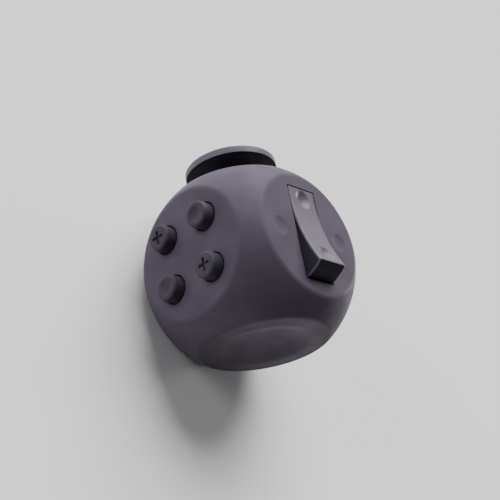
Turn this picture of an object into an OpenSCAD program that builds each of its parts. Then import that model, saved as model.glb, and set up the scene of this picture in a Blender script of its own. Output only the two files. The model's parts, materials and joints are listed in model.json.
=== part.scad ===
// Ball-shaped fidget cube with six flat round faces: push buttons on the right, a rocker switch
// on the top, a thumb stick on the front, a thumb dish on the back, wheels and a ball on the left,
// and a spin dial let into the bottom. Millimetres, +Z up, origin at the middle of the bottom face.

/* [Body] */
// Radius of the ball that the body is cut from
ball_r = 21; // [20.5:0.25:22]
// Distance from the ball's centre to each flat round face
face_d = 16.5; // [16.25:0.25:17]
// Thickness of the shell
wall = 1.8; // [1.6:0.1:2]
// Radius of the round between the ball and each flat face
rim_round = 1.6; // [1.6:0.4:2]

/* [Buttons] */
// Distance of each button from the face's two centre lines
button_pitch = 5.3; // [5.1:0.1:5.5]
// Radius of a button
button_r = 2.6; // [2.3:0.05:2.65]
// Height that a button stands above its face
button_h = 2.4; // [1.8:0.1:2.6]

/* [Rocker] */
// Width of the rocker
rocker_w = 7.3; // [6.5:0.1:7.5]
// Depth of the rocker's pin below the face
rocker_pin_z = 2.7; // [2.6:0.05:2.8]
// Radius of the rocker's curved ends about its pin
rocker_end_r = 10.2; // [9.9:0.05:10.3]
// Height of the rocker's upper corners above its pin
rocker_top = 4.8; // [4.6:0.1:5]
// Depth of the hollow along the rocker's top
rocker_sag = 1.2; // [0.8:0.1:1.5]
// Angle that the rocker leans to each side
rocker_tilt = 12.4; // [8:0.1:12.6]

/* [Thumb stick] */
// Radius of the thumb disc
disc_r = 9.45; // [8:0.05:9.5]
// Height of the thumb disc's underside above the face
disc_z = 5.15; // [5.1:0.05:5.6]
// Thickness of the thumb disc at its rim
disc_t = 1.6; // [1.2:0.05:1.7]
// Depth of the stick's pivot below the face
pivot_z = 5; // [4.8:0.1:5.2]

/* [Thumb dish] */
// Radius of the dish's mouth
dish_r = 9.3; // [8:0.1:9.5]
// Depth of the dish
dish_depth = 1.5; // [1:0.1:1.6]

/* [Wheels and ball] */
// Radius of a wheel
wheel_r = 4.5; // [4.2:0.1:4.5]
// Number of teeth on a wheel
wheel_teeth = 22; // [16:2:26]
// Radius of the steel ball
steel_r = 3.5; // [3.3:0.1:3.5]

/* [Dial] */
// Radius of the dial
dial_r = 8; // [7:0.1:8]
// Number of clicks in one turn of the dial
dial_clicks = 12; // [10:1:14]

/* [Hidden] */
$fn = 96;

edge_round = 0.25;               // round or bevel on the edge of every opening
inner_r = ball_r - wall;
inner_d = face_d - wall;
FACES = ["top", "bottom", "right", "left", "front", "back"];
bite = 0.1;                      // overlap that fuses two solids of one piece
diagonal = acos(1 / sqrt(3));    // lean of the seam's axis, which runs from corner to corner

tongue_in = 0.55;                // from the shell's inner skin to the seam's tongue
tongue_t = 0.7;
tongue_h = 0.6;
tongue_root = 0.5;
seam_gap = 0.1;

screw_r = 0.52;
pilot_r = 0.55;
screw_hole_r = 0.8;
screw_head_r = 1.2;
screw_head_h = 0.8;
boss_r = 1.5;

button_hole_r = button_r + 0.22;
foot_r = 1.6;
flange_r = 3.3;
flange_t = 1;
flange_z = -wall - 0.05;
click_foot_z = -5.2;
soft_foot_z = -4;
backplate_z = -5.8;
backplate_t = 1.2;
backplate_screw_y = 7.2;

slot_gap = 0.13;
slot_bevel = 0.12;
rocker_pin_r = 0.7;
rocker_skirt = -4;               // lowest angle of the rocker's curved ends, seen from its pin
rocker_half = sqrt(pow(rocker_end_r, 2) - pow(rocker_top, 2));
rocker_hollow_r = (pow(rocker_half, 2) + pow(rocker_sag, 2)) / (2 * rocker_sag);
rocker_hollow_z = rocker_top - rocker_sag + rocker_hollow_r;
rocker_foot_z = rocker_end_r * sin(rocker_skirt);
rocker_dimple_y = 6.3;
rocker_dimple_r = 4.6;
rocker_dimple_depth = 0.36;
face_dimple_x = 8.4;
face_dimple_r = 10;
face_dimple_depth = 0.21;
cradle_x = 4;
cradle_t = 1.2;
cradle_half_y = 3.2;
cradle_floor_z = -9.5;
cradle_tab_z = -5.5;
cradle_screw_x = 7.2;
tail_r = 0.9;
tail_z = -3.5;                   // end of the rocker's tail, below its pin

stem_r = 1.6;
skirt_r = 5.5;
skirt_t = 0.6;
skirt_angle = 52;
stick_hole_r = 4.7;
gimbal_pin_r = 0.6;
housing_r = 6.9;
housing_t = 0.9;
housing_floor_z = -11.2;
housing_tab_z = -4.2;
housing_screw_y = 8.4;

wheel_y = -4.2;
wheel_z = -3.3;
wheel_t = 2.5;
wheel_pitch = 3.6;
axle_r = 1;
ball_y = 5.6;
ball_z = -2.4;
ball_gap = 0.15;
bracket_z = -8.2;
bracket_t = 1.1;
bracket_cheek_x = 5.9;
bracket_cheek_t = 1.2;
bracket_screw_x = 7.8;
bracket_screw_y = 3.2;
cup_r = 4.2;
cup_foot_z = -7.4;

dial_pocket_depth = 1.4;
dial_gap = 0.2;
dial_sink = 0.15;
hub_r = 2;
click_wheel_z = -4.9;
click_wheel_r = 4.2;
click_wheel_t = 1.2;
detent_anchor = [6.4, 5.6];

// ---- Frames and shared shapes ----

// Places children on a face: their origin is its middle, and their +Z points out of the body.
module at_face(side) {
    turn = side == "top" ? [0, 0, 0]
         : side == "bottom" ? [180, 0, 0]
         : side == "right" ? [0, 90, 0]
         : side == "left" ? [0, -90, 0]
         : side == "front" ? [90, 0, 0]
         : [-90, 0, 0];
    translate([0, 0, face_d]) rotate(turn) translate([0, 0, face_d]) children();
}

// Places children on the seam between the shells: +Z points into the front shell.
module at_seam() {
    translate([0, 0, face_d]) rotate([0, diagonal, 45]) children();
}

module faced_ball(r, d) {
    translate([0, 0, face_d]) intersection() {
        sphere(r = r);
        cube(2 * d, center = true);
    }
}

// Takes the edge between the ball and one flat face down to a round.
module rim_cut() {
    side = sqrt(pow(ball_r - rim_round, 2) - pow(face_d - rim_round, 2));
    centre = [side, face_d - rim_round];
    rim_r = sqrt(pow(ball_r, 2) - pow(face_d, 2));
    translate([0, 0, -face_d]) rotate_extrude() difference() {
        polygon([centre, [side, face_d + 1], [rim_r + 2, face_d + 1],
            centre * (ball_r + 1) / (ball_r - rim_round)]);
        translate(centre) circle(r = rim_round);
    }
}

// Rounds the mouth of a round opening of radius r.
module mouth_round(r, round = edge_round) {
    rotate_extrude() difference() {
        translate([r - bite, -round]) square([round + bite, round + 0.5]);
        translate([r + round, -round]) circle(r = round);
    }
}

// Bevels the mouth of a rectangular opening of these half sizes.
module mouth_bevel(half_x, half_y, bevel = edge_round) {
    over = 0.5;
    wide = bevel + over;
    intersection() {
        rotate([90, 0, 0]) linear_extrude(4 * half_y, center = true)
            polygon([[-half_x, -bevel], [half_x, -bevel],
                [half_x + wide, over], [-half_x - wide, over]]);
        rotate([90, 0, 90]) linear_extrude(4 * half_x, center = true)
            polygon([[-half_y, -bevel], [half_y, -bevel],
                [half_y + wide, over], [-half_y - wide, over]]);
    }
}

// The part of the shell's wall between two depths, counted outwards from its inner skin.
module wall_layer(inner, outer) {
    difference() {
        faced_ball(inner_r + outer, inner_d + outer);
        faced_ball(inner_r + inner, inner_d + inner);
    }
}

module shell_half(up) {
    difference() {
        intersection() {
            wall_layer(0, wall);
            at_seam() translate([-2 * ball_r, -2 * ball_r, up ? 0 : -4 * ball_r]) cube(4 * ball_r);
        }
        for (side = FACES) at_face(side) rim_cut();
    }
}

// The tongue on the rear shell's edge; with a gap it is the groove in the front shell.
module seam_tongue(gap) {
    difference() {
        intersection() {
            wall_layer(tongue_in - gap, tongue_in + tongue_t + gap);
            at_seam() translate([-2 * ball_r, -2 * ball_r, -tongue_root])
                cube([4 * ball_r, 4 * ball_r, tongue_root + tongue_h + gap]);
        }
        at_button(-1, -1) peg(button_hole_r + 0.3, -2 * wall, 1);
    }
}

module peg(r, z_low, z_high) {
    translate([0, 0, z_low]) cylinder(r = r, h = z_high - z_low);
}

module boss(z_end) {
    peg(boss_r, z_end, bite - wall);
}

// A blind hole for a screw, cut up into a boss from its end.
module pilot(z_end) {
    peg(pilot_r, z_end - bite, -wall);
}

// A cross-head screw driven towards +Z: the head's seat is at z_seat and the tip at z_tip.
module screw(z_seat, z_tip) {
    difference() {
        union() {
            peg(screw_head_r, z_seat - screw_head_h, z_seat);
            peg(screw_r, z_seat - bite, z_tip);
        }
        for (turn = [0, 90])
            rotate([0, 0, turn])
                translate([-0.8, -0.15, z_seat - screw_head_h - bite]) cube([1.6, 0.3, 0.5]);
    }
}

// A thin domed disc that stands on z_low and reaches z_low + h.
module snap_dome(r, z_low, h) {
    sheet = 0.15;
    big_r = (r * r + h * h) / (2 * h);
    translate([0, 0, z_low]) rotate_extrude() intersection() {
        difference() {
            translate([0, h - big_r]) circle(r = big_r);
            translate([0, h - big_r]) circle(r = big_r - sheet);
        }
        square([r + 1, h + 1]);
    }
}

// A coil spring from z_low to z_high: a round wire swept along a helix, with closed ends.
module coil_spring(coil_r, wire_r, turns, z_low, z_high) {
    sides = 8;
    steps = 18 * turns;
    low = z_low + wire_r;
    rise = z_high - z_low - 2 * wire_r;
    points = [for (i = [0 : steps], k = [0 : sides - 1])
        let (a = 360 * turns * i / steps, b = 360 * k / sides, rr = coil_r + wire_r * cos(b))
        [rr * cos(a), rr * sin(a), low + rise * i / steps + wire_r * sin(b)]];
    walls = [for (i = [0 : steps - 1], k = [0 : sides - 1])
        let (n = (k + 1) % sides)
        [i * sides + k, i * sides + n, (i + 1) * sides + n, (i + 1) * sides + k]];
    polyhedron(points = points, faces = concat(walls,
        [[for (k = [sides - 1 : -1 : 0]) k]],
        [[for (k = [0 : sides - 1]) steps * sides + k]]), convexity = 10);
}

// ---- Shells ----

module front_shell() {
    color("dimgray") difference() {
        union() {
            shell_half(true);
            at_face("right")
                for (y = [-backplate_screw_y, backplate_screw_y])
                    translate([0, y, 0]) boss(backplate_z);
            at_face("top")
                for (x = [-cradle_screw_x, cradle_screw_x])
                    translate([x, 0, 0]) boss(cradle_tab_z + 1);
            at_face("back") peg(dish_r + 0.6, -wall - dish_depth, bite - wall);
        }
        at_face("right") button_cuts();
        at_face("top") rocker_cuts();
        at_face("back") dish_cut();
        seam_tongue(seam_gap);
    }
}

module rear_shell() {
    color("dimgray") difference() {
        union() {
            shell_half(false);
            seam_tongue(0);
            at_face("front")
                for (y = [-housing_screw_y, housing_screw_y])
                    translate([0, y, 0]) boss(housing_tab_z);
            at_face("left")
                for (x = [-bracket_screw_x, bracket_screw_x])
                    translate([x, bracket_screw_y, 0]) boss(bracket_z);
            at_face("bottom") {
                peg(dial_r + 1.4, -wall - dial_pocket_depth, bite - wall);
                translate(detent_anchor) boss(click_wheel_z - 0.1);
            }
        }
        at_face("front") {
            peg(stick_hole_r, -wall - bite, 1);
            mouth_round(stick_hole_r);
            for (y = [-housing_screw_y, housing_screw_y])
                translate([0, y, 0]) pilot(housing_tab_z);
        }
        at_face("left") roller_cuts();
        at_face("bottom") dial_cuts();
        at_face("top") rocker_slot();
    }
}

module button_cuts() {
    for (x = [-button_pitch, button_pitch], y = [-button_pitch, button_pitch])
        translate([x, y, 0]) {
            peg(button_hole_r, -wall - bite, 1);
            mouth_round(button_hole_r);
        }
    for (y = [-backplate_screw_y, backplate_screw_y])
        translate([0, y, 0]) pilot(backplate_z);
}

// The slot's ends are curved about the rocker's pin, as the rocker's own ends are.
module rocker_slot() {
    half_w = rocker_w / 2 + slot_gap;
    translate([0, 0, -rocker_pin_z]) intersection() {
        rotate([0, 90, 0]) cylinder(r = rocker_end_r + slot_gap, h = 2 * half_w, center = true);
        translate([-half_w, -ball_r, rocker_pin_z - wall - 1])
            cube([2 * half_w, 2 * ball_r, wall + 2]);
    }
    mouth_bevel(half_w, sqrt(pow(rocker_end_r + slot_gap, 2) - pow(rocker_pin_z, 2)), slot_bevel);
}

module rocker_cuts() {
    rocker_slot();
    for (x = [-face_dimple_x, face_dimple_x])
        translate([x, 0, face_dimple_r - face_dimple_depth]) sphere(r = face_dimple_r);
    for (x = [-cradle_screw_x, cradle_screw_x])
        translate([x, 0, 0]) pilot(cradle_tab_z + 1);
}

module dish_cut() {
    big_r = (dish_r * dish_r + dish_depth * dish_depth) / (2 * dish_depth);
    round = 4;
    lip_x = sqrt(pow(big_r + round, 2) - pow(big_r - dish_depth + round, 2));
    lip = [lip_x, -round];
    heart = [0, big_r - dish_depth];
    touch = lip + (heart - lip) * round / (big_r + round);
    translate([0, 0, heart[1]]) sphere(r = big_r);
    rotate_extrude() difference() {
        polygon([lip, [lip_x, 1], [touch[0] - bite, 1], touch - [bite, 0]]);
        translate(lip) circle(r = round);
    }
}

module roller_cuts() {
    slot_half = sqrt(pow(wheel_r + slot_gap, 2) - pow(wheel_z + wall, 2)) + slot_gap;
    slot_w = wheel_t + 0.4;
    for (i = [-1 : 1])
        translate([i * wheel_pitch, wheel_y, 0]) {
            translate([-slot_w / 2, -slot_half, -wall - bite]) cube([slot_w, 2 * slot_half, wall + 1]);
            mouth_bevel(slot_w / 2, slot_half);
        }
    translate([0, ball_y, ball_z]) sphere(r = steel_r + ball_gap);
    translate([0, ball_y, 0]) mouth_round(sqrt(pow(steel_r + ball_gap, 2) - pow(ball_z, 2)));
    for (x = [-bracket_screw_x, bracket_screw_x])
        translate([x, bracket_screw_y, 0]) pilot(bracket_z);
}

module dial_cuts() {
    peg(dial_r + dial_gap, -dial_pocket_depth, 1);
    mouth_round(dial_r + dial_gap);
    peg(hub_r + 0.06, -10, 0);
    translate(detent_anchor) pilot(click_wheel_z - 0.1);
}

// ---- Right face: four push buttons ----

// A button stands on z_foot and is capped above the face; its flange stops it from inside.
module button_blank(z_foot) {
    round = 0.55;
    rotate_extrude() {
        square_z = button_h - round;
        translate([0, flange_z - flange_t]) square([flange_r, flange_t]);
        translate([0, z_foot]) square([foot_r, flange_z - z_foot]);
        translate([0, flange_z - flange_t]) square([button_r, square_z - flange_z + flange_t]);
        translate([0, square_z - bite]) square([button_r - round, round + bite]);
        translate([button_r - round, square_z]) circle(r = round);
    }
}

module click_button() {
    cross_l = 2.5;
    cross_w = 0.5;
    cross_depth = 0.45;
    color("dimgray") difference() {
        button_blank(click_foot_z);
        for (turn = [0, 90])
            rotate([0, 0, turn])
                translate([-cross_l / 2, -cross_w / 2, button_h - cross_depth])
                    cube([cross_l, cross_w, 1]);
    }
}

module soft_button() {
    hollow_r = 4;
    hollow_depth = 0.4;
    color("dimgray") difference() {
        button_blank(soft_foot_z);
        translate([0, 0, button_h + hollow_r - hollow_depth]) sphere(r = hollow_r);
    }
}

// The two clicking and the two soft buttons sit at opposite corners of a square.
module at_button(column, row) {
    at_face("right") translate([-column * button_pitch, row * button_pitch, 0]) children();
}

module click_button_upper() { at_button(1, 1) click_button(); }
module click_button_lower() { at_button(-1, -1) click_button(); }
module soft_button_upper() { at_button(1, -1) soft_button(); }
module soft_button_lower() { at_button(-1, 1) soft_button(); }

module button_snap_dome() {
    color("silver") snap_dome(2.6, backplate_z, click_foot_z - backplate_z);
}
module snap_dome_upper() { at_button(1, 1) button_snap_dome(); }
module snap_dome_lower() { at_button(-1, -1) button_snap_dome(); }

// A rubber dome: a foot ring, a sloping skirt and a crown that the button's foot rests on.
module rubber_dome() {
    high = soft_foot_z - backplate_z;
    color("whitesmoke") translate([0, 0, backplate_z]) rotate_extrude() polygon([
        [0, high], [foot_r, high], [2.5, 0.4], [2.9, 0.4], [2.9, 0], [2.1, 0],
        [1.3, high - 0.6], [0, high - 0.6]]);
}
module rubber_dome_upper() { at_button(1, -1) rubber_dome(); }
module rubber_dome_lower() { at_button(-1, 1) rubber_dome(); }

module button_backplate() {
    half = button_pitch + flange_r;
    color("darkslategray") at_face("right") difference() {
        intersection() {
            translate([-half, -half, backplate_z - backplate_t])
                cube([2 * half, 2 * half, backplate_t]);
            peg(half + 1.6, backplate_z - backplate_t - 1, backplate_z + 1);
        }
        for (y = [-backplate_screw_y, backplate_screw_y])
            translate([0, y, 0])
                peg(screw_hole_r, backplate_z - backplate_t - bite, backplate_z + bite);
        peg(2.2, backplate_z - backplate_t - bite, backplate_z + bite);
    }
}

module button_backplate_screws() {
    color("silver") at_face("right")
        for (y = [-backplate_screw_y, backplate_screw_y])
            translate([0, y, 0]) screw(backplate_z - backplate_t, -wall - 0.6);
}

// ---- Top face: rocker switch ----

// Places children on the rocker's pin; with lean they follow the rocker as it rests.
module at_rocker_pin(lean = 0) {
    at_face("top") translate([0, 0, -rocker_pin_z]) rotate([lean, 0, 0]) children();
}

module rocker_outline() {
    difference() {
        union() {
            intersection() {
                circle(r = rocker_end_r);
                translate([-rocker_end_r, rocker_foot_z])
                    square([2 * rocker_end_r, rocker_end_r]);
            }
            circle(r = 2.2);
            polygon([[-6, rocker_foot_z + bite], [6, rocker_foot_z + bite],
                [1.8, -1.3], [-1.8, -1.3]]);
        }
        translate([0, rocker_hollow_z]) circle(r = rocker_hollow_r, $fn = 360);
        circle(r = rocker_pin_r + 0.05);
    }
}

module rocker() {
    dimple_z = rocker_hollow_z - sqrt(pow(rocker_hollow_r, 2) - pow(rocker_dimple_y, 2));
    color("dimgray") at_rocker_pin(rocker_tilt) difference() {
        union() {
            rotate([90, 0, 90]) linear_extrude(rocker_w, center = true) rocker_outline();
            peg(tail_r, tail_z, -2);
        }
        for (y = [-rocker_dimple_y, rocker_dimple_y])
            translate([0, y, dimple_z + rocker_dimple_r - rocker_dimple_depth])
                sphere(r = rocker_dimple_r);
    }
}

module rocker_pin() {
    color("silver") at_rocker_pin()
        rotate([0, 90, 0]) cylinder(r = rocker_pin_r, h = 2 * (cradle_x + cradle_t) + 0.2, center = true);
}

// Over-centre spring: it pushes the rocker's tail away from the middle, to either side.
module rocker_spring() {
    seat = [0, cradle_floor_z + 1 + rocker_pin_z];
    shoulder = -2.65;
    tail = [-shoulder * sin(rocker_tilt), shoulder * cos(rocker_tilt)];
    reach = norm(tail - seat);
    lean = atan2(tail[0] - seat[0], tail[1] - seat[1]);
    color("silver") at_rocker_pin()
        translate([0, seat[0], seat[1]]) rotate([-lean, 0, 0])
            coil_spring(1.35, 0.2, 5, 0.3, reach - 0.1);
}

module rocker_cradle() {
    width = 2 * (cradle_x + cradle_t);
    color("whitesmoke") at_face("top") difference() {
        union() {
            difference() {
                translate([-width / 2, -cradle_half_y, cradle_floor_z])
                    cube([width, 2 * cradle_half_y, -wall - 0.05 - cradle_floor_z]);
                translate([-cradle_x, -cradle_half_y - 1, cradle_floor_z + 1])
                    cube([2 * cradle_x, 2 * cradle_half_y + 2, -cradle_floor_z]);
            }
            for (side = [-1, 1])
                translate([side * (cradle_x + 2.9), 0, cradle_tab_z + 0.5])
                    cube([3.8, 4, 1], center = true);
            peg(tail_r, cradle_floor_z + 0.5, cradle_floor_z + 1.8);
        }
        translate([0, 0, -rocker_pin_z])
            rotate([0, 90, 0]) cylinder(r = rocker_pin_r, h = 2 * width, center = true);
        for (x = [-cradle_screw_x, cradle_screw_x])
            translate([x, 0, 0]) peg(screw_hole_r, cradle_tab_z - bite, cradle_tab_z + 1 + bite);
    }
}

module rocker_cradle_screws() {
    color("silver") at_face("top")
        for (x = [-cradle_screw_x, cradle_screw_x])
            translate([x, 0, 0]) screw(cradle_tab_z, -wall - 0.4);
}

// ---- Front face: thumb stick on a gimbal ----

module thumb_disc() {
    rim_z = disc_z + disc_t;
    hollow_r = 60;
    hollow_depth = 0.65;
    rim = 0.35;
    edge = 0.1;
    socket_z = 3.2;
    color("dimgray") at_face("front") rotate_extrude() difference() {
        union() {
            polygon([[0, socket_z], [2.9, socket_z], [2.9, disc_z - 0.9], [3.6, disc_z - 0.4],
                [disc_r - edge, disc_z], [disc_r, disc_z + edge], [disc_r, rim_z - rim],
                [disc_r - rim, rim_z], [0, rim_z]]);
            translate([disc_r - rim, rim_z - rim]) circle(r = rim);
        }
        translate([0, rim_z + hollow_r - hollow_depth]) circle(r = hollow_r, $fn = 720);
        translate([-1, socket_z - 1]) square([2.52, disc_z - socket_z]);
        translate([-20, -50]) square([20, 100]);
    }
}

module stick_stem() {
    foot = -pivot_z - 2.6;
    color("dimgray") at_face("front") difference() {
        rotate_extrude() {
            translate([0, foot]) square([stem_r, 3.2 - foot]);
            translate([0, foot]) square([2.6, 0.6]);
            translate([0, 0.2]) square([2, 3]);
            square([1.5, 4.1]);
            intersection() {
                difference() {
                    translate([0, -pivot_z]) circle(r = skirt_r);
                    translate([0, -pivot_z]) circle(r = skirt_r - skirt_t);
                }
                translate([0, -pivot_z]) polygon([[0, 0],
                    [10 * sin(skirt_angle), 10 * cos(skirt_angle)], [0, 10]]);
            }
        }
        translate([0, 0, -pivot_z])
            rotate([90, 0, 0]) cylinder(r = gimbal_pin_r, h = 10, center = true);
    }
}

module gimbal_ring() {
    low = -pivot_z - 0.9;
    color("whitesmoke") at_face("front") difference() {
        peg(4.5, low, low + 1.8);
        peg(3, low - 1, low + 3);
        translate([0, 0, -pivot_z]) {
            rotate([90, 0, 0]) cylinder(r = gimbal_pin_r + 0.05, h = 20, center = true);
            rotate([0, 90, 0]) cylinder(r = gimbal_pin_r + 0.05, h = 20, center = true);
        }
    }
}

module stick_cross_pin() {
    color("silver") at_face("front") translate([0, 0, -pivot_z])
        rotate([90, 0, 0]) cylinder(r = gimbal_pin_r, h = 8.6, center = true);
}

module gimbal_pins() {
    color("silver") at_face("front")
        for (side = [-1, 1])
            translate([side * 5.1, 0, -pivot_z])
                rotate([0, 90, 0]) cylinder(r = gimbal_pin_r, h = 3.8, center = true);
}

module stick_housing() {
    color("darkslategray") at_face("front") difference() {
        union() {
            peg(housing_r, housing_floor_z, -wall);
            for (side = [-1, 1])
                translate([0, side * 8, housing_tab_z - 0.5]) cube([3.4, 3.6, 1], center = true);
        }
        peg(housing_r - housing_t, housing_floor_z + 0.8, 0);
        translate([0, 0, -pivot_z])
            rotate([0, 90, 0]) cylinder(r = gimbal_pin_r, h = 30, center = true);
        for (y = [-housing_screw_y, housing_screw_y])
            translate([0, y, 0]) peg(screw_hole_r, housing_tab_z - 1 - bite, housing_tab_z + bite);
    }
}

module stick_spring() {
    color("silver") at_face("front")
        coil_spring(2.1, 0.2, 4, housing_floor_z + 0.85, -pivot_z - 2.65);
}

module stick_housing_screws() {
    color("silver") at_face("front")
        for (y = [-housing_screw_y, housing_screw_y])
            translate([0, y, 0]) screw(housing_tab_z - 1, -wall - 0.2);
}

// ---- Left face: three thumb wheels and a clicking ball ----

module wheel(place) {
    tooth = wheel_r * sin(180 / wheel_teeth) * 0.62;
    color("dimgray") at_face("left")
        translate([place * wheel_pitch, wheel_y, wheel_z]) rotate([0, 90, 0])
            linear_extrude(wheel_t, center = true) difference() {
                circle(r = wheel_r);
                for (i = [0 : wheel_teeth - 1])
                    rotate(360 * i / wheel_teeth) translate([wheel_r, 0]) circle(r = tooth, $fn = 24);
                circle(r = axle_r + 0.05);
            }
}

module wheel_upper() { wheel(1); }
module wheel_middle() { wheel(0); }
module wheel_lower() { wheel(-1); }

module wheel_axle() {
    half = bracket_cheek_x + bracket_cheek_t;
    color("silver") at_face("left") translate([0, wheel_y, wheel_z])
        rotate([0, 90, 0]) cylinder(r = axle_r, h = 2 * half, center = true);
}

module roller_bracket() {
    half = bracket_cheek_x + bracket_cheek_t;
    low = bracket_z - bracket_t;
    color("darkslategray") at_face("left") difference() {
        union() {
            translate([-half, wheel_y - 4, low]) cube([2 * half, 18, bracket_t]);
            for (side = [-1, 1])
                translate([side * bracket_screw_x, bracket_screw_y, low + bracket_t / 2])
                    cube([3.2, 3.2, bracket_t], center = true);
            for (x = [-half, bracket_cheek_x])
                translate([x, wheel_y - 2, low])
                    cube([bracket_cheek_t, 4, -wall - 0.2 - low]);
            translate([0, ball_y, 0]) peg(cup_r + 0.9, low, -4);
        }
        translate([0, ball_y, 0]) peg(cup_r + 0.1, bracket_z, 0);
        translate([0, wheel_y, wheel_z])
            rotate([0, 90, 0]) cylinder(r = axle_r, h = 30, center = true);
        for (i = [-1 : 1])
            translate([i * wheel_pitch - wheel_t / 2 - 0.2, wheel_y - wheel_r - 0.3, bracket_z])
                cube([wheel_t + 0.4, 2 * wheel_r + 0.6, 5]);
        for (x = [-bracket_screw_x, bracket_screw_x])
            translate([x, bracket_screw_y, 0]) peg(screw_hole_r, low - bite, bracket_z + bite);
    }
}

module roller_bracket_screws() {
    color("silver") at_face("left")
        for (x = [-bracket_screw_x, bracket_screw_x])
            translate([x, bracket_screw_y, 0]) screw(bracket_z - bracket_t, -wall - 1.2);
}

module steel_ball() {
    color("silver") at_face("left") translate([0, ball_y, ball_z]) sphere(r = steel_r);
}

module ball_cup() {
    color("whitesmoke") at_face("left") translate([0, ball_y, 0]) difference() {
        peg(cup_r, cup_foot_z, ball_z - 0.8);
        translate([0, 0, ball_z]) sphere(r = steel_r + 0.1);
    }
}

module ball_snap_dome() {
    color("silver") at_face("left") translate([0, ball_y, 0])
        snap_dome(3, bracket_z, cup_foot_z - bracket_z);
}

// ---- Bottom face: spin dial with a clicking wheel ----

module spin_dial() {
    thick = 1;
    round = 0.3;
    top = -dial_sink;
    color("dimgray") at_face("bottom") difference() {
        rotate_extrude() {
            translate([0, top - thick]) square([dial_r, thick - round]);
            translate([0, top - thick]) square([dial_r - round, thick]);
            translate([dial_r - round, top - round]) circle(r = round);
            translate([0, -wall - dial_pocket_depth - 0.1])
                square([hub_r, wall + dial_pocket_depth + top - 0.3]);
            translate([0, click_wheel_z - 0.1]) square([1.6, 4]);
        }
        translate([4.9, 0, top + 3.4]) sphere(r = 4);
        rotate_extrude() translate([dial_r - 1, top]) circle(r = 0.2, $fn = 24);
        peg(pilot_r, -9, -2.2);
    }
}

module click_wheel() {
    color("whitesmoke") at_face("bottom") translate([0, 0, click_wheel_z])
        linear_extrude(click_wheel_t) difference() {
            circle(r = click_wheel_r);
            for (i = [0 : dial_clicks - 1])
                rotate(360 * i / dial_clicks)
                    translate([click_wheel_r + 0.35, 0]) circle(r = 0.85, $fn = 32);
            circle(r = 1.6);
        }
}

module dial_screw() {
    color("silver") at_face("bottom") {
        screw(click_wheel_z - 0.1, -2.6);
        difference() {
            peg(2.4, click_wheel_z - 0.3, click_wheel_z - 0.1);
            peg(screw_hole_r, click_wheel_z - 1, click_wheel_z);
        }
    }
}

// A leaf that is screwed down at one end and whose rounded nose drops into the wheel's notches.
module detent_spring() {
    leaf_t = 0.25;
    leaf_h = 0.9;
    z_low = click_wheel_z - 0.1 - leaf_t;
    color("silver") at_face("bottom") difference() {
        union() {
            translate(detent_anchor) peg(boss_r, z_low, z_low + leaf_t);
            translate([detent_anchor[0] - boss_r, -0.6, z_low]) {
                cube([leaf_t, detent_anchor[1] + 0.6, leaf_t]);
                cube([leaf_t, detent_anchor[1] - 1.2, leaf_t + leaf_h]);
            }
            translate([click_wheel_r + 0.32, 0, z_low]) peg(0.6, 0, leaf_t + leaf_h);
        }
        translate(detent_anchor) peg(screw_hole_r, -10, 0);
    }
}

module detent_spring_screw() {
    color("silver") at_face("bottom") translate(detent_anchor)
        screw(click_wheel_z - 0.35, -wall - 0.4);
}

front_shell();
rear_shell();
click_button_upper();
click_button_lower();
soft_button_upper();
soft_button_lower();
snap_dome_upper();
snap_dome_lower();
rubber_dome_upper();
rubber_dome_lower();
button_backplate();
button_backplate_screws();
rocker();
rocker_pin();
rocker_spring();
rocker_cradle();
rocker_cradle_screws();
thumb_disc();
stick_stem();
stick_cross_pin();
gimbal_ring();
gimbal_pins();
stick_housing();
stick_spring();
stick_housing_screws();
wheel_upper();
wheel_middle();
wheel_lower();
wheel_axle();
roller_bracket();
roller_bracket_screws();
steel_ball();
ball_cup();
ball_snap_dome();
spin_dial();
click_wheel();
dial_screw();
detent_spring();
detent_spring_screw();
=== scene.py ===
"""Ball-shaped fidget cube: looks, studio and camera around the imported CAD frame. Metres, +Z up."""

import json
import math

import bmesh
import bpy
from mathutils import Matrix, Vector

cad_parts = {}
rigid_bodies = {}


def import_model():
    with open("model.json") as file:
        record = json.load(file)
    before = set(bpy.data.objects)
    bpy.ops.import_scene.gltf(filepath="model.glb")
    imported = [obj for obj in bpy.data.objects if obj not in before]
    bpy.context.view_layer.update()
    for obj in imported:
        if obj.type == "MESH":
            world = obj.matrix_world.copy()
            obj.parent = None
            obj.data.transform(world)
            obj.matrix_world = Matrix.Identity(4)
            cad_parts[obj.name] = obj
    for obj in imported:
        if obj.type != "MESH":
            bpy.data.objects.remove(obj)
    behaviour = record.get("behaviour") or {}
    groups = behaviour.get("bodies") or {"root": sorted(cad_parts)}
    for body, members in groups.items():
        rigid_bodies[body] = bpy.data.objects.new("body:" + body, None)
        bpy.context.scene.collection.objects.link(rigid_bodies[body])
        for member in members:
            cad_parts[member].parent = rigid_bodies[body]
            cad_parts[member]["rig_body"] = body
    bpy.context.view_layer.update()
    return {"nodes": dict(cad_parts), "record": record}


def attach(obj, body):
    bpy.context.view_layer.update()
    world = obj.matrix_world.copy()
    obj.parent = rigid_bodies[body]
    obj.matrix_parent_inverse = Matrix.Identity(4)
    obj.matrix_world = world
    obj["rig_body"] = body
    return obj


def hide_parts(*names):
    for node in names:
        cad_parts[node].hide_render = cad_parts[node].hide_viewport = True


MM = 0.001

for start_object in list(bpy.data.objects):
    bpy.data.objects.remove(start_object)

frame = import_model()
nodes = frame["nodes"]

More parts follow.
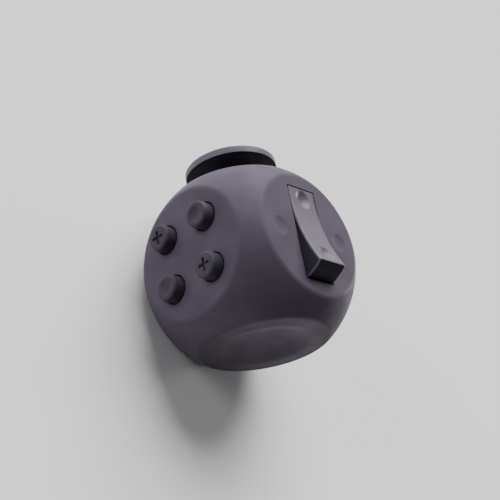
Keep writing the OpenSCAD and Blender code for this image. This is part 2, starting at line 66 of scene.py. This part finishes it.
# Sizes in millimetres, as the CAD model has them.
BALL_R = 21
FACE_D = 16.5
WALL = 1.8
BUTTON_PITCH = 5.3
BUTTON_R = 2.6
BUTTON_H = 2.4
ROCKER_W = 7.3
ROCKER_PIN_Z = 2.7
ROCKER_END_R = 10.2
ROCKER_TOP = 4.8
ROCKER_SAG = 1.2
ROCKER_TILT = 12.4
DISC_R = 9.45
DISC_Z = 5.15
DISC_T = 1.6
WHEEL_R = 4.5
WHEEL_T = 2.5
WHEEL_PITCH = 3.6
WHEEL_Y = -4.2
WHEEL_Z = -3.3
WHEEL_TEETH = 22
STEEL_R = 3.5
BALL_Y = 5.6
BALL_Z = -2.4
DIAL_R = 8
DIAL_SINK = 0.15

CENTRE = Vector((0, 0, FACE_D)) * MM
FACE_TURN = {
    "top": Matrix.Identity(4),
    "bottom": Matrix.Rotation(math.pi, 4, "X"),
    "right": Matrix.Rotation(math.pi / 2, 4, "Y"),
    "left": Matrix.Rotation(-math.pi / 2, 4, "Y"),
    "front": Matrix.Rotation(math.pi / 2, 4, "X"),
}


def face_place(side, x=0, y=0, z=0):
    """Millimetres on a face, whose +Z points out of the body, to metres in the row frame."""
    middle = Matrix.Translation((0, 0, FACE_D))
    on_face = Matrix.Translation((x, y, z))
    return Matrix.Scale(MM, 4) @ middle @ FACE_TURN[side] @ middle @ on_face


# ---- Material helpers ----

# Noise scales, in features per metre.
PLASTIC_DRIFT = 110
PLASTIC_SMUDGE = 230
PLASTIC_SPECK = 2600
PLASTIC_GRAIN = 7500
METAL_DRIFT = 700
METAL_SMUDGE = 1500
METAL_GRAIN = 5000
PAPER_DRIFT = 6


def new_material(name):
    material = bpy.data.materials.new(name)
    material.use_nodes = True
    tree = material.node_tree
    shader = tree.nodes["Principled BSDF"]
    return material, tree, shader


def add_node(tree, kind, inputs=None, **settings):
    node = tree.nodes.new(kind)
    for key, value in settings.items():
        setattr(node, key, value)
    for key, value in (inputs or {}).items():
        node.inputs[key].default_value = value
    return node


def object_noise(tree, scale, detail, roughness=0.5):
    """Noise in the row frame, where scale counts features per metre."""
    where = add_node(tree, "ShaderNodeTexCoord")
    noise = add_node(tree, "ShaderNodeTexNoise",
                     {"Scale": scale, "Detail": detail, "Roughness": roughness})
    tree.links.new(where.outputs["Object"], noise.inputs["Vector"])
    return noise.outputs["Fac"]


def remap(tree, value, source, target):
    """Maps value from the range source to the range target, without going past its ends."""
    node = add_node(tree, "ShaderNodeMapRange", {
        "From Min": source[0], "From Max": source[1], "To Min": target[0], "To Max": target[1]})
    tree.links.new(value, node.inputs["Value"])
    return node.outputs["Result"]


def blend_colours(tree, factor, *colours):
    """Mixes two colours, each of them a tuple or another node's output."""
    node = add_node(tree, "ShaderNodeMix", data_type="RGBA")
    colour_sockets = node.inputs[6:8]
    tree.links.new(factor, node.inputs[0])
    for colour, socket in zip(colours, colour_sockets):
        if isinstance(colour, tuple):
            socket.default_value = (*colour, 1)
        else:
            tree.links.new(colour, socket)
    return node.outputs[2]


def add_bump(tree, shader, height, distance):
    bump = add_node(tree, "ShaderNodeBump", {"Distance": distance})
    tree.links.new(height, bump.inputs["Height"])
    tree.links.new(bump.outputs["Normal"], shader.inputs["Normal"])


def scaled(colour, factor):
    return tuple(factor * channel for channel in colour)


def soft_touch(name, colour, roughness, grain, sheen, specular=0.4):
    """Moulded plastic: fine spark grain in mm, faint finger marks, lint specks and slight tone drift."""
    material, tree, shader = new_material(name)
    drift = remap(tree, object_noise(tree, PLASTIC_DRIFT, 3), (0.35, 0.65), (0, 1))
    base = blend_colours(tree, drift, scaled(colour, 0.9), scaled(colour, 1.1))
    specks = remap(tree, object_noise(tree, PLASTIC_SPECK, 1), (0.74, 0.78), (0, 0.25))
    speckled = blend_colours(tree, specks, base, scaled(colour, 2.4))
    tree.links.new(speckled, shader.inputs["Base Color"])
    smudge = object_noise(tree, PLASTIC_SMUDGE, 5, 0.62)
    rub = remap(tree, smudge, (0.36, 0.66), (roughness + 0.05, roughness - 0.09))
    tree.links.new(rub, shader.inputs["Roughness"])
    shader.inputs["Sheen Weight"].default_value = sheen
    shader.inputs["Sheen Roughness"].default_value = 0.4
    shader.inputs["Specular IOR Level"].default_value = specular
    add_bump(tree, shader, object_noise(tree, PLASTIC_GRAIN, 3, 0.65), grain * MM)
    return material


def bare_metal(name, colour, roughness, grain):
    """Bare metal: fine grain in mm, with drift in tone and in gloss."""
    material, tree, shader = new_material(name)
    shader.inputs["Metallic"].default_value = 1
    drift = remap(tree, object_noise(tree, METAL_DRIFT, 3), (0.3, 0.7), (0, 1))
    toned = blend_colours(tree, drift, scaled(colour, 0.85), colour)
    tree.links.new(toned, shader.inputs["Base Color"])
    smudge = object_noise(tree, METAL_SMUDGE, 4)
    rub = remap(tree, smudge, (0.3, 0.7), (roughness * 0.7, roughness * 1.4))
    tree.links.new(rub, shader.inputs["Roughness"])
    add_bump(tree, shader, object_noise(tree, METAL_GRAIN, 2), grain * MM)
    return material


# ---- Materials ----

SHELL = soft_touch("shell_soft_touch", (0.070, 0.057, 0.081),
                   roughness=0.62, grain=0.012, sheen=0.03, specular=0.12)
BUTTON = soft_touch("button_plastic", (0.043, 0.036, 0.052),
                    roughness=0.6, grain=0.006, sheen=0.02, specular=0.13)
ROCKER = soft_touch("rocker_plastic", (0.094, 0.078, 0.109),
                    roughness=0.5, grain=0.006, sheen=0.02, specular=0.25)
# A darker copy of the plastic: painted shade on the rocker's flanks, ends and foot and on the thumb disc's
# underside.
SHADE_PAINTED_PLASTIC = soft_touch("painted_shade_plastic", (0.022, 0.020, 0.029),
                        roughness=0.6, grain=0.006, sheen=0, specular=0.12)
INNER = soft_touch("inner_plastic", (0.035, 0.035, 0.038), roughness=0.5, grain=0.006, sheen=0)
WHITE = soft_touch("acetal", (0.72, 0.71, 0.67), roughness=0.35, grain=0.003, sheen=0)
RUBBER = soft_touch("rubber", (0.62, 0.62, 0.60), roughness=0.6, grain=0.003, sheen=0.1)
STEEL = bare_metal("steel", (0.56, 0.56, 0.57), roughness=0.3, grain=0.002)
POLISHED = bare_metal("polished_steel", (0.72, 0.72, 0.73), roughness=0.1, grain=0.0005)

SLOT_MATERIALS = {
    "soft_black_plastic": SHELL,
    "button_plastic": BUTTON,
    "rocker_plastic": ROCKER,
    "dark_inner_plastic": INNER,
    "white_inner_plastic": WHITE,
    "steel": STEEL,
    "spring_steel": STEEL,
    "polished_steel": POLISHED,
    "clear_rubber": RUBBER,
}

node_slots = {part["node"]: part["material_slot"] for part in frame["record"]["subparts"]}
for node_name, slot_name in node_slots.items():
    cad_mesh = nodes[node_name].data
    cad_mesh.materials.clear()
    cad_mesh.materials.append(SLOT_MATERIALS[slot_name])


# ---- Shape helpers, all in millimetres ----

SHARP_ANGLE = math.radians(35)
MERGE_GAP = 1e-5


def arc(x, z, radius, start, end, steps):
    """Points of an arc about (x, z) from one angle to another, in degrees."""
    angles = [math.radians(start + (end - start) * i / steps) for i in range(steps + 1)]
    return [(x + radius * math.cos(a), z + radius * math.sin(a)) for a in angles]


def edge_round(radius, steps):
    """Steps of a rounded edge: distance in from the side, and drop below the surface."""
    angles = [math.radians(90 * k / steps) for k in range(steps + 1)]
    return [(radius - radius * math.cos(a), radius - radius * math.sin(a)) for a in angles]


def smooth(edge_a, edge_b, value):
    """0 at edge_a and before it, 1 at edge_b and past it, with a soft start and end."""
    t = min(max((value - edge_a) / (edge_b - edge_a), 0.0), 1.0)
    return t * t * (3 - 2 * t)


def dent(r, depth, lip=0.16):
    """Depth of a bowl-shaped dent at r, counted in its own radii, with a softened lip."""
    bowl = 1 - r * r
    return depth * (bowl + math.sqrt(bowl * bowl + lip * lip)) / 2


def finish_piece(bm, name, node, place):
    """Turns bm into a piece that stands for one CAD node and rides on that node's body."""
    bmesh.ops.remove_doubles(bm, verts=bm.verts, dist=MERGE_GAP)
    bmesh.ops.transform(bm, matrix=place, verts=bm.verts)
    bmesh.ops.recalc_face_normals(bm, faces=bm.faces)
    for face in bm.faces:
        face.smooth = True
    for edge in bm.edges:
        if len(edge.link_faces) == 2 and edge.calc_face_angle() > SHARP_ANGLE:
            edge.smooth = False
    mesh = bpy.data.meshes.new(name)
    bm.to_mesh(mesh)
    bm.free()
    piece = bpy.data.objects.new(name, mesh)
    bpy.context.scene.collection.objects.link(piece)
    mesh.materials.append(SLOT_MATERIALS[node_slots[node]])
    body = nodes[node]["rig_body"]
    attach(piece, body)
    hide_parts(node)
    return piece


def ring_at(bm, radii, z):
    """A closed ring of vertices at height z, evenly round the axis, each at its own radius."""
    ring = []
    for i, r in enumerate(radii):
        a = 2 * math.pi * i / len(radii)
        ring.append(bm.verts.new((r * math.cos(a), r * math.sin(a), z)))
    return ring


def ring_faces(bm, rings):
    """Joins closed rings of vertices, each to the next, with quads."""
    count = len(rings[0])
    for low, high in zip(rings, rings[1:]):
        for i in range(count):
            j = (i + 1) % count
            bm.faces.new((low[i], low[j], high[j], high[i]))


def tip_faces(bm, tip, ring):
    """Closes a ring of vertices with a fan about tip."""
    for i, corner in enumerate(ring):
        bm.faces.new((tip, corner, ring[(i + 1) % len(ring)]))


def turned(profile, steps):
    """A turned shape: profile points (r, z); r 0 at either end closes it with a fan."""
    bm = bmesh.new()
    rings = []
    tips = []
    for r, z in profile:
        if r == 0:
            tips.append((len(rings), bm.verts.new((0, 0, z))))
        else:
            rings.append(ring_at(bm, [r] * steps, z))
    ring_faces(bm, rings)
    for rings_before, tip in tips:
        tip_faces(bm, tip, rings[0] if rings_before == 0 else rings[-1])
    return bm


def disc_directions(cells):
    """A square grid bent to fill the unit disc, and its edge points' places in it, in order."""
    grid = []
    for i in range(cells + 1):
        for j in range(cells + 1):
            u = 2 * i / cells - 1
            v = 2 * j / cells - 1
            grid.append((u * math.sqrt(1 - v * v / 2), v * math.sqrt(1 - u * u / 2)))
    side = cells + 1
    edge = [i * side for i in range(cells)]
    edge += [cells * side + j for j in range(cells)]
    edge += [i * side + cells for i in range(cells, 0, -1)]
    edge += list(range(cells, 0, -1))
    return grid, edge


def capped_turning(profile, height, cells=72):
    """Turned sides below a fine-meshed cap, whose shape is height(x, y). profile runs from the
    cap's edge to a tip at r 0."""
    cap_r = profile[0][0]
    grid, edge = disc_directions(cells)
    bm = bmesh.new()
    cap = [bm.verts.new((cap_r * u, cap_r * v, height(cap_r * u, cap_r * v))) for u, v in grid]
    side = cells + 1
    for i in range(cells):
        for j in range(cells):
            k = i * side + j
            bm.faces.new((cap[k], cap[k + side], cap[k + side + 1], cap[k + 1]))
    rings = [[cap[k] for k in edge]]
    for r, z in profile[1:-1]:
        rings.append([bm.verts.new((r * grid[k][0], r * grid[k][1], z)) for k in edge])
    ring_faces(bm, rings)
    tip_faces(bm, bm.verts.new((0, 0, profile[-1][1])), rings[-1])
    return bm


# ---- Buttons ----

SHOULDER_R = 0.55
FLANGE_R = 3.3
FLANGE_T = 1
FLANGE_Z = -WALL - 0.05
FOOT_R = 1.6
CLICK_FOOT_Z = -5.2
SOFT_FOOT_Z = -4


def button_sides(foot_z):
    """From the cap's edge over the rounded shoulder, down the side and round the flange to the foot."""
    shoulder = arc(BUTTON_R - SHOULDER_R, BUTTON_H - SHOULDER_R, SHOULDER_R, 0, 90, 10)
    points = list(reversed(shoulder))
    points += [(BUTTON_R, z) for z in (1.0, 0.2, FLANGE_Z)]
    points += [(FLANGE_R, FLANGE_Z), (FLANGE_R, FLANGE_Z - FLANGE_T), (FOOT_R, FLANGE_Z - FLANGE_T)]
    points += [(FOOT_R, foot_z), (0, foot_z)]
    return points


def plus_cap(x, y):
    """A cross let into a barely crowned cap, with rounded edges and ends."""
    half_length = 1.3
    half_width = 0.26
    depth = 0.5
    soft = 0.09
    crown = 0.05
    bar_x = max(abs(x) - half_length, abs(y) - half_width)
    bar_y = max(abs(x) - half_width, abs(y) - half_length)
    outside = min(bar_x, bar_y)
    rise = crown * (1 - (x * x + y * y) / (BUTTON_R - SHOULDER_R) ** 2)
    return BUTTON_H + rise - depth * (1 - smooth(-soft, soft, outside))


def hollow_cap(x, y):
    """A round hollow with a soft lip."""
    hollow_r = 1.6
    depth = 0.5
    return BUTTON_H - dent(math.hypot(x, y) / hollow_r, depth)


def make_buttons():
    """Two clicking buttons with a plus and two quiet ones with a hollow, on opposite corners."""
    kinds = {"click": (plus_cap, CLICK_FOOT_Z), "soft": (hollow_cap, SOFT_FOOT_Z)}
    places = {"click_button_upper": (1, 1), "click_button_lower": (-1, -1),
              "soft_button_upper": (1, -1), "soft_button_lower": (-1, 1)}
    for node, (column, row) in places.items():
        cap, foot_z = kinds[node.split("_")[0]]
        bm = capped_turning(button_sides(foot_z), cap)
        place = face_place("right", -column * BUTTON_PITCH, row * BUTTON_PITCH)
        finish_piece(bm, node + "_skin", node, place)


# ---- Rocker ----

ROCKER_FOOT_Z = -0.7
ROCKER_CORNER_R = 0.3
ROCKER_EDGE_R = 0.4
ROCKER_TOP_STEPS = 90
ROCKER_CORNER_STEPS = 8
ROCKER_END_STEPS = 26
ROCKER_FOOT_STEPS = 24
ROCKER_EDGE_STEPS = 8
ROCKER_WIDTH_STEPS = 52


def rocker_outline(inset):
    """The rocker's side view about its pin, shrunk by inset: hollow top, curved ends, flat foot."""
    half = math.sqrt(ROCKER_END_R ** 2 - ROCKER_TOP ** 2)
    hollow_r = (half ** 2 + ROCKER_SAG ** 2) / (2 * ROCKER_SAG)
    hollow_z = ROCKER_TOP - ROCKER_SAG + hollow_r
    top_r = hollow_r + inset
    end_r = ROCKER_END_R - inset
    corner_r = max(ROCKER_CORNER_R - inset, 0.02)
    reach = end_r - corner_r
    far = top_r + corner_r
    z = (reach ** 2 - far ** 2 + hollow_z ** 2) / (2 * hollow_z)
    y = math.sqrt(reach ** 2 - z ** 2)
    top_angle = math.degrees(math.asin(y / far))
    end_angle = math.degrees(math.atan2(z, y))
    foot_z = ROCKER_FOOT_Z + inset
    foot_angle = math.degrees(math.asin(foot_z / end_r))
    foot_y = end_r * math.cos(math.radians(foot_angle))
    points = arc(0, hollow_z, top_r, -90 - top_angle, -90 + top_angle, ROCKER_TOP_STEPS)
    points += arc(y, z, corner_r, 90 + top_angle, end_angle, ROCKER_CORNER_STEPS)[1:]
    points += arc(0, 0, end_r, end_angle, foot_angle, ROCKER_END_STEPS)[1:]
    for k in range(1, ROCKER_FOOT_STEPS):
        points.append((foot_y * (1 - 2 * k / ROCKER_FOOT_STEPS), foot_z))
    points += arc(0, 0, end_r, 180 - foot_angle, 180 - end_angle, ROCKER_END_STEPS)
    points += arc(-y, z, corner_r, 180 - end_angle, 90 - top_angle, ROCKER_CORNER_STEPS)[1:-1]
    return points


def rocker_dents(x, y):
    """Depth at (x, y) of the two finger dents, one near each end of the rocker's top."""
    dent_r = 1.95
    dent_depth = 0.62
    lip = 0.07
    depth = 0
    for centre_y in (-6.8, 6.6):
        depth += dent(math.hypot(x, y - centre_y) / dent_r, dent_depth, lip)
    return depth


def rocker_layers():
    """Cuts across the rocker's width: place along X, and how far the outline is shrunk there."""
    half_w = ROCKER_W / 2
    flat = 2 * (half_w - ROCKER_EDGE_R)
    left = [(-half_w + x, inset) for x, inset in edge_round(ROCKER_EDGE_R, ROCKER_EDGE_STEPS)]
    middle = []
    for k in range(1, ROCKER_WIDTH_STEPS):
        middle.append((-half_w + ROCKER_EDGE_R + flat * k / ROCKER_WIDTH_STEPS, 0))
    right = [(-x, inset) for x, inset in reversed(left)]
    return left + middle + right


def paint_shade_on_sides(bm, rings, top_count):
    """Gives the flanks, ends and foot the second material, a darker copy of the plastic that paints shade
    on them. The top and the rounded edges keep the first.
    """
    # The last two steps of each corner's arc are left to the end's painted shade.
    corner = ROCKER_CORNER_STEPS - 2
    light_points = {point for ring in rings for point in ring[:top_count + corner] + ring[-corner:]}
    for ring in rings[1:ROCKER_EDGE_STEPS] + rings[-ROCKER_EDGE_STEPS:-1]:
        light_points.update(ring)
    for face in bm.faces:
        if not light_points.issuperset(face.verts):
            face.material_index = 1


def join_shape(bm, extra):
    """Adds the bmesh extra to bm, and frees it."""
    spare = bpy.data.meshes.new("spare")
    extra.to_mesh(spare)
    extra.free()
    bm.from_mesh(spare)
    bpy.data.meshes.remove(spare)


def make_rocker():
    """The rocker with a hub about its pin, and a tail below that its spring pushes on."""
    top_count = ROCKER_TOP_STEPS + 1
    bm = bmesh.new()
    rings = []
    for x, inset in rocker_layers():
        ring = []
        for i, (y, z) in enumerate(rocker_outline(inset)):
            sink = rocker_dents(x, y) if i < top_count else 0
            ring.append(bm.verts.new((x, y, z - sink)))
        rings.append(ring)
    ring_faces(bm, rings)
    bm.faces.new(rings[0])
    bm.faces.new(rings[-1])
    paint_shade_on_sides(bm, rings, top_count)
    hub_r = 2.2
    hub_x = ROCKER_W / 2 - 0.1
    hub = turned([(0, -hub_x), (hub_r, -hub_x), (hub_r, hub_x), (0, hub_x)], steps=48)
    bmesh.ops.transform(hub, matrix=Matrix.Rotation(math.pi / 2, 4, "Y"), verts=hub.verts)
    tail = turned([(0, -3.5), (0.7, -3.5), (0.9, -3.3), (0.9, -1), (0, -1)], steps=32)
    join_shape(bm, hub)
    join_shape(bm, tail)
    tilt = Matrix.Rotation(math.radians(ROCKER_TILT), 4, "X")
    piece = finish_piece(bm, "rocker_skin", "rocker", face_place("top", z=-ROCKER_PIN_Z) @ tilt)
    # The second material paints shade on the flanks, ends and foot.
    piece.data.materials.append(SHADE_PAINTED_PLASTIC)


# ---- Thumb disc ----

def make_thumb_disc():
    """A shallow dished top, an upright rim with a crisp lower edge, and a flared neck with a socket.
    Its underside is darker: painted shade, from a darker copy of the plastic."""
    top_z = DISC_Z + DISC_T
    rim_r = 0.38
    edge_r = 0.07
    hollow_r = 60
    dip = 0.65
    hollow_steps = 24
    hollow_share = 0.93
    neck_r = 2.9
    flare_r = 1.0
    neck_z = 3.2
    socket_r = 1.52
    socket_top = DISC_Z - 1
    hollow_edge = hollow_share * math.sqrt(hollow_r ** 2 - (hollow_r - dip) ** 2)
    points = [(0, top_z - dip)]
    for k in range(1, hollow_steps + 1):
        r = hollow_edge * k / hollow_steps
        points.append((r, top_z - dip + hollow_r - math.sqrt(hollow_r ** 2 - r * r)))
    points += arc(DISC_R - rim_r, top_z - rim_r, rim_r, 104, 0, 14)
    points += [(DISC_R, DISC_Z + DISC_T / 2)]
    points += arc(DISC_R - edge_r, DISC_Z + edge_r, edge_r, 0, -86, 5)
    points += [(8, DISC_Z - 0.09), (5.4, DISC_Z - 0.26)]
    points += arc(neck_r + flare_r, DISC_Z - 0.4 - flare_r, flare_r, 80, 180, 8)
    points += [(neck_r, neck_z + 0.05), (neck_r - 0.05, neck_z)]
    points += [(socket_r, neck_z), (socket_r, socket_top), (0, socket_top)]
    bm = turned(points, steps=160)
    # Faces below the rim's lower edge take the darker copy: painted shade on the underside.
    for face in bm.faces:
        if face.calc_center_median().z < DISC_Z + edge_r / 2:
            face.material_index = 1
    piece = finish_piece(bm, "thumb_disc_skin", "thumb_disc", face_place("front"))
    piece.data.materials.append(SHADE_PAINTED_PLASTIC)


# ---- Thumb wheels and steel ball ----

def wheel_radius(angle, drop):
    """A toothed rim: round valleys between broad crests."""
    valley_r = WHEEL_R * math.sin(math.pi / WHEEL_TEETH) * 0.62
    pitch = 2 * math.pi / WHEEL_TEETH
    off = (angle + pitch / 2) % pitch - pitch / 2
    across = abs(off) * WHEEL_R
    valley = math.sqrt(max(valley_r ** 2 - across ** 2, 0))
    return WHEEL_R - valley * smooth(valley_r * 1.15, valley_r * 0.55, across) - drop


def make_wheels():
    """Three toothed wheels on one axle, each with a sunk web on both sides."""
    points_per_tooth = 16
    count = WHEEL_TEETH * points_per_tooth
    half = WHEEL_T / 2
    edge_r = 0.3
    web_sink = 0.35
    layers = [(-half + x, drop) for x, drop in edge_round(edge_r, 5)]
    layers += [(-x, drop) for x, drop in reversed(layers)]
    web = [(3.3, half), (3.15, half - 0.12), (3.0, half - web_sink), (1.9, half - web_sink),
           (1.75, half - 0.12), (1.6, half), (1.05, half)]
    for place, node in ((1, "wheel_upper"), (0, "wheel_middle"), (-1, "wheel_lower")):
        bm = bmesh.new()
        rings = [ring_at(bm, [r] * count, -z) for r, z in reversed(web)]
        for z, drop in layers:
            radii = [wheel_radius(2 * math.pi * i / count, drop) for i in range(count)]
            rings.append(ring_at(bm, radii, z))
        rings += [ring_at(bm, [r] * count, z) for r, z in web]
        rings.append(rings[0])
        ring_faces(bm, rings)
        turn = Matrix.Rotation(math.pi / 2, 4, "Y")
        where = face_place("left", place * WHEEL_PITCH, WHEEL_Y, WHEEL_Z) @ turn
        finish_piece(bm, node + "_skin", node, where)


def make_ball():
    """The polished ball, smooth enough for a clean reflection."""
    bm = bmesh.new()
    bmesh.ops.create_icosphere(bm, subdivisions=5, radius=STEEL_R)
    finish_piece(bm, "steel_ball_skin", "steel_ball", face_place("left", 0, BALL_Y, BALL_Z))


# ---- Spin dial ----

def dial_cap(x, y):
    """A finger hollow near the rim and a fine groove inside the edge."""
    finger_x = 4.6
    finger_r = 2.3
    finger_depth = 0.7
    groove_r = 7.25
    groove_half = 0.22
    groove_depth = 0.14
    finger = math.hypot(x - finger_x, y) / finger_r
    groove = abs(math.hypot(x, y) - groove_r) / groove_half
    sink = finger_depth * (1 - smooth(0.0, 1.05, finger))
    return -DIAL_SINK - sink - groove_depth * (1 - smooth(0.0, 1.0, groove))


def make_dial():
    """A round plate on a hub, with a bore below for its screw."""
    round_r = 0.3
    thick = 1
    hub_r = 2
    hub_z = -WALL - 1.5
    stub_r = 1.6
    stub_z = -5
    bore_r = 0.55
    bore_top = -2.2
    top = -DIAL_SINK
    points = list(reversed(arc(DIAL_R - round_r, top - round_r, round_r, 0, 90, 6)))
    points += [(DIAL_R, top - thick), (hub_r, top - thick), (hub_r, hub_z), (stub_r, hub_z)]
    points += [(stub_r, stub_z), (bore_r, stub_z), (bore_r, bore_top), (0, bore_top)]
    bm = capped_turning(points, dial_cap, cells=96)
    finish_piece(bm, "spin_dial_skin", "spin_dial", face_place("bottom"))


make_buttons()
make_rocker()
make_thumb_disc()
make_wheels()
make_ball()
make_dial()


# ---- Studio ----

FLOOR_HALF = 2.5
STUDIO_TINT = (0.93, 0.92, 0.95, 1)


def make_floor():
    """A wide sheet of pale paper."""
    bm = bmesh.new()
    bmesh.ops.create_grid(bm, x_segments=8, y_segments=8, size=FLOOR_HALF)
    mesh = bpy.data.meshes.new("floor")
    bm.to_mesh(mesh)
    bm.free()
    floor = bpy.data.objects.new("floor", mesh)
    bpy.context.scene.collection.objects.link(floor)
    material, tree, shader = new_material("floor_paper")
    drift = remap(tree, object_noise(tree, PAPER_DRIFT, 2), (0.3, 0.7), (0, 1))
    paper = blend_colours(tree, drift, (0.84, 0.83, 0.84), (0.87, 0.86, 0.87))
    tree.links.new(paper, shader.inputs["Base Color"])
    shader.inputs["Roughness"].default_value = 0.9
    mesh.materials.append(material)


def soft_sun(name, direction, spread, strength):
    """An even studio light from one direction; spread is how wide it looks, in degrees."""
    data = bpy.data.lights.new(name, "SUN")
    data.angle = math.radians(spread)
    data.energy = strength
    lamp = bpy.data.objects.new(name, data)
    bpy.context.scene.collection.objects.link(lamp)
    direction = Vector(direction).normalized()
    lamp.location = CENTRE + direction
    lamp.rotation_euler = direction.to_track_quat("Z", "Y").to_euler()


def make_studio():
    """A key above the thumb stick, a weak fill and a grazing rim light, and a world that is a
    bright backdrop to the camera but gives little light."""
    world = bpy.data.worlds.new("studio")
    bpy.context.scene.world = world
    world.use_nodes = True
    tree = world.node_tree
    ambient = tree.nodes["Background"]
    ambient.inputs["Color"].default_value = STUDIO_TINT
    ambient.inputs["Strength"].default_value = 0.08
    backdrop = add_node(tree, "ShaderNodeBackground", {"Color": STUDIO_TINT, "Strength": 1.3})
    seen = add_node(tree, "ShaderNodeLightPath")
    pick = add_node(tree, "ShaderNodeMixShader")
    tree.links.new(seen.outputs["Is Camera Ray"], pick.inputs[0])
    tree.links.new(ambient.outputs[0], pick.inputs[1])
    tree.links.new(backdrop.outputs[0], pick.inputs[2])
    tree.links.new(pick.outputs[0], tree.nodes["World Output"].inputs["Surface"])
    soft_sun("key", (-0.12, -0.8, 0.6), spread=60, strength=7.0)
    soft_sun("fill", (0.9, -0.35, 0.25), spread=24, strength=1.3)
    soft_sun("rim", (-0.95, -0.2, 0.13), spread=12, strength=1.5)


def make_camera():
    """Looks from beyond the corner of the button, dish and rocker faces, rolled about its own axis
    so that the thumb stick points up. Its place counts in ball radii from the ball's centre."""
    right = Vector((-0.69385, 0.17368, 0.69886))
    up = Vector((0.19849, -0.88676, 0.41744))
    back = Vector((0.69222, 0.42836, 0.58081))
    place = CENTRE + BALL_R * MM * Vector((7.890, 4.698, 6.669))
    data = bpy.data.cameras.new("camera")
    data.sensor_width = 36
    data.lens = 86.4
    data.clip_start = 0.01
    camera = bpy.data.objects.new("camera", data)
    bpy.context.scene.collection.objects.link(camera)
    turn = Matrix((right, up, back)).transposed().to_4x4()
    camera.matrix_world = Matrix.Translation(place) @ turn
    bpy.context.scene.camera = camera


make_floor()
make_studio()
make_camera()
